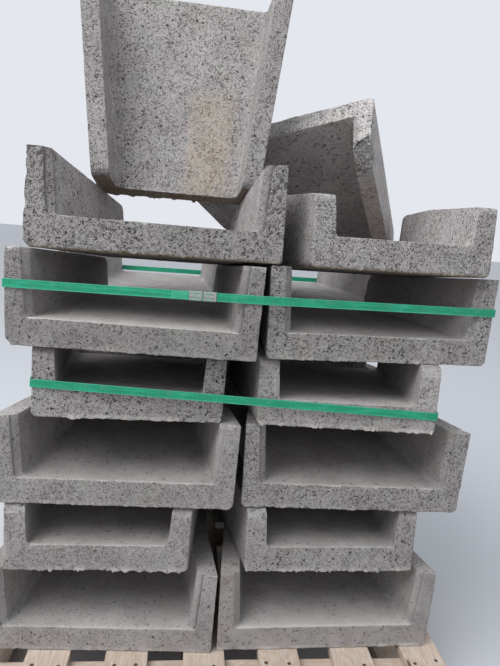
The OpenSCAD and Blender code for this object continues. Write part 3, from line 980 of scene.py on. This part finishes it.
def ribbon(name, node, path, frame_of, material, seed=1, pale=None):
    """A flat band with slightly thicker edges along a path in its own plane. With a node it is a loop."""
    half_w, n = STRAP_W / 2, len(path)
    across = np.concatenate([[-1, -0.985, -0.95], np.linspace(-0.86, 0.86, 9), [0.95, 0.985, 1]]) * half_w
    body = np.where(np.abs(across) > half_w * 0.99, 0.45, np.where(np.abs(across) > half_w * 0.8, 1.0, 0.86))
    body = STRAP_T / 2 * body
    section = [(z, h) for z, h in zip(across, body)] + [(z, -h) for z, h in zip(across[::-1], body[::-1])]
    m = len(section)
    length = np.concatenate([[0], np.cumsum(np.linalg.norm(np.diff(path[:, :2], axis=0), axis=1))])
    v, at = [], []
    for (x, y, ux, uy), run in zip(path, length):
        for z, h in section:
            v.append((x + ux * h, y + uy * h, z))
            at.append((run / 1000 + seed, z / 1000, h / 1000))
    across = np.tile([abs(z) / half_w for z, _ in section], n)
    across = across if pale is None else np.maximum(across, np.repeat(pale, m))
    ob = add_mesh(name, np.array(v), strap_tube(m, n, bool(node)), frame_of, loc=np.array(at), across=across)
    settle(ob, material, node)


def strap_material():
    """Green polyester with painted highlights along its edges, scuffed, dusty and embossed with lozenges."""
    n = Nodes("green_strap")
    at = n.attribute("loc")
    scuff = n.noise(n.stretched(at, 20, 160, 160), 1.0, 3, 0.6)
    base = n.mix(n.ramp(scuff, 0.40, 0.68), rgb(22, 150, 112), rgb(38, 172, 132))
    # Painted highlights along both edges of the band
    base = n.mix(n.ramp(n.attribute("across"), 0.72, 0.98, 0.0, 0.6), base, rgb(92, 200, 166))
    base = n.mix(n.ramp(n.noise(at, 60, 3), 0.50, 0.75, 0.0, 0.14), base, rgb(150, 172, 156))
    waffle = n.stretched(at, 420, 420, 420, Rotation=(0, 0, math.radians(45)))
    parts = n.add("ShaderNodeSeparateXYZ", i0=waffle).outputs
    lozenges = n.times(n.math("SINE", parts[0]), n.math("SINE", parts[1]))
    relief = n.plus(lozenges, n.times(scuff, 0.5))
    return n.surface(base, n.ramp(scuff, 0.3, 0.7, 0.34, 0.5), n.bump(relief, 0.0003, 0.8))


def seal_material():
    n = Nodes("seal_zinc")
    dull = n.noise(n.add("ShaderNodeTexCoord").outputs["Object"], 260, 4, 0.65)
    zinc = n.mix(n.ramp(dull, 0.38, 0.64), rgb(158, 158, 155), rgb(188, 188, 184))
    # Painted shade in the rows of teeth, at the sleeve's ends and on its inner side
    zinc = n.mix(n.times(n.attribute("dark"), 0.8), zinc, rgb(84, 84, 84))
    return n.surface(zinc, n.ramp(dull, 0.3, 0.7, 0.40, 0.60), n.bump(dull, 0.0002, 0.6), metallic=0.45)


def seal_section(x, phase):
    """The points round a crimped sleeve at x, as (x, outward, z), and how much painted shade each has."""
    reach = STRAP_W / 2 + 1
    tooth = 0.5 + 0.5 * math.cos(2 * math.pi * (x / TOOTH_STEP + phase))
    mid = math.exp(-(x / (SEAL_LEN * 0.42)) ** 6)
    rim = step_up(abs(x), SEAL_LEN / 2 - 1.2, SEAL_LEN / 2 - 0.3)
    front, back = [], []
    for z in np.linspace(-1, 1, 21):
        edge = step_up(abs(z), 0.45, 0.95)
        pinch = 0.45 * mid * tooth * edge
        row = math.exp(-((abs(z) - 0.40) / 0.15) ** 2) * (0.45 + 0.55 * tooth)
        press = mid * (0.65 * row + 0.25 * tooth * edge)
        # The front gets painted shade in the rows of teeth and at the ends, the inner side half as much
        front.append(((x, SEAL_OUT - 0.30 * edge - press, z * (reach - pinch)), max(mid * row, rim)))
        depth = SEAL_OUT - SEAL_WALL - 0.3 * mid * tooth * edge if abs(z) < 0.9 else -1.0
        back.append(((x, depth, z * (reach - 0.35 - pinch)), 0.5))
    return front + back[::-1]


def seal_mesh(start, along, outward, centre, phase):
    """Points, faces and painted shade of one sleeve round the band, its front pressed in with rows of teeth."""
    sections = [seal_section(x, phase) for x in np.linspace(-SEAL_LEN / 2, SEAL_LEN / 2, 55)]
    v = np.array([point for section in sections for point, _ in section])
    dark = np.array([value for section in sections for _, value in section])
    placed = (v + [centre, 0, 0]) @ np.array([[*along, 0], [*outward, 0], [0, 0, 1]]) + [*start, 0]
    return placed, strap_tube(len(sections[0]), len(sections), False), dark


def build_seals(green):
    """The upper strap's two sleeves, and the band's free end, which lies on the first turn and under them."""
    _, row, z, tilt = STRAPS[0]
    to_world = strap_plane(z, tilt)
    left, right = strap_corners(COLUMNS["front_left"], row, to_world)[:2]
    run = np.linalg.norm(right - left)
    along = (right - left) / run
    outward = np.array([along[1], -along[0]])
    start = left + outward * (STRAP_GAP + STRAP_T)
    middle = SEAL_PLACE * run
    runs = np.concatenate([[0, 1.6, 2.4], np.linspace(8, TAIL_LEN, 12)]) + middle - SEAL_LEN - TAIL_OUT
    tail = np.array([(*(start + along * x + outward * TAIL_LIFT), *outward) for x in runs])
    ribbon("strap_tail", None, tail, to_world, green, 3, np.where(np.arange(len(runs)) < 2, 1.0, 0.84))
    seals = [seal_mesh(start, along, outward, middle + side * (SEAL_LEN + SEAL_GAP) / 2, 0.3 * side)
             for side in (-1, 1)]
    v, faces = joined([seal[:2] for seal in seals])
    ob = add_mesh("strap_seals_crimped", v, faces, to_world, dark=np.concatenate([seal[2] for seal in seals]))
    settle(ob, seal_material(), "strap_seals")


def build_straps():
    green = strap_material()
    for name, row, z, tilt in STRAPS:
        to_world = strap_plane(z, tilt)
        points = [c for column in COLUMNS.values() for c in strap_corners(column, row, to_world)]
        ribbon(name + "_band", name, ribbon_path(points, STRAP_GAP + STRAP_T / 2), to_world, green)
    build_seals(green)


build_straps()

# The stage, in metres. What the camera sees of the floor and the world is paler than the light they give
FLOOR_HALF = 30.0
SKY_COLOUR, SKY_STRENGTH, SKY_SEEN = (238, 242, 249), 0.82, (228, 231, 238)
LAMP_SIZE, LAMP_ENERGY, LAMP_AT, LAMP_AIM = 4.0, 222, (-2.6, -2.1, 4.9), (0, 0, 0.9)


def build_floor():
    w = FLOOR_HALF
    me = bpy.data.meshes.new("floor")
    me.from_pydata([(-w, -w, 0), (w, -w, 0), (w, w, 0), (-w, w, 0)], [], [(0, 1, 2, 3)])
    n = Nodes("floor_paint")
    me.materials.append(n.surface(n.mix(n.seen(), rgb(150, 148, 144), rgb(205, 207, 211)), 0.9))
    new_object("floor", me)


def build_world():
    world = bpy.context.scene.world or bpy.data.worlds.new("world")
    bpy.context.scene.world = world
    n = Nodes("world", world)
    n.tree.nodes.clear()
    soft = n.add("ShaderNodeBackground", Color=rgb(*SKY_COLOUR), Strength=SKY_STRENGTH).outputs[0]
    backdrop = n.add("ShaderNodeBackground", Color=rgb(*SKY_SEEN)).outputs[0]
    mix = n.add("ShaderNodeMixShader", i0=n.seen(), i1=soft, i2=backdrop).outputs[0]
    n.add("ShaderNodeOutputWorld", Surface=mix)


def build_lamp():
    lamp = bpy.data.lights.new("sky_panel", "AREA")
    lamp.shape, lamp.size, lamp.energy = "DISK", LAMP_SIZE, LAMP_ENERGY
    ob = new_object("sky_panel", lamp)
    ob.location = LAMP_AT
    ob.rotation_euler = (ob.location - Vector(LAMP_AIM)).to_track_quat("Z", "Y").to_euler()


# The camera, fitted to the corners of the trays in the photograph
CAMERA_AT, YAW, PITCH, ROLL = (-0.079, -1.577, 1.123), -6.69, -11.48, -4.67
FOCAL_PIXELS, PHOTO_PIXELS, SENSOR = 539.8, 500, 36


def build_camera():
    data = bpy.data.cameras.new("camera")
    data.sensor_fit, data.sensor_width = "HORIZONTAL", SENSOR
    data.lens, data.clip_end = FOCAL_PIXELS / PHOTO_PIXELS * SENSOR, 100
    ob = bpy.context.scene.camera = new_object("camera", data)
    level = spin(2, YAW) @ spin(0, 90)
    ob.matrix_world = Matrix((shift(*CAMERA_AT) @ level @ spin(0, PITCH) @ spin(2, -ROLL)).tolist())


build_floor()
build_world()
build_lamp()
build_camera()
bpy.context.scene.view_settings.view_transform = "Standard"
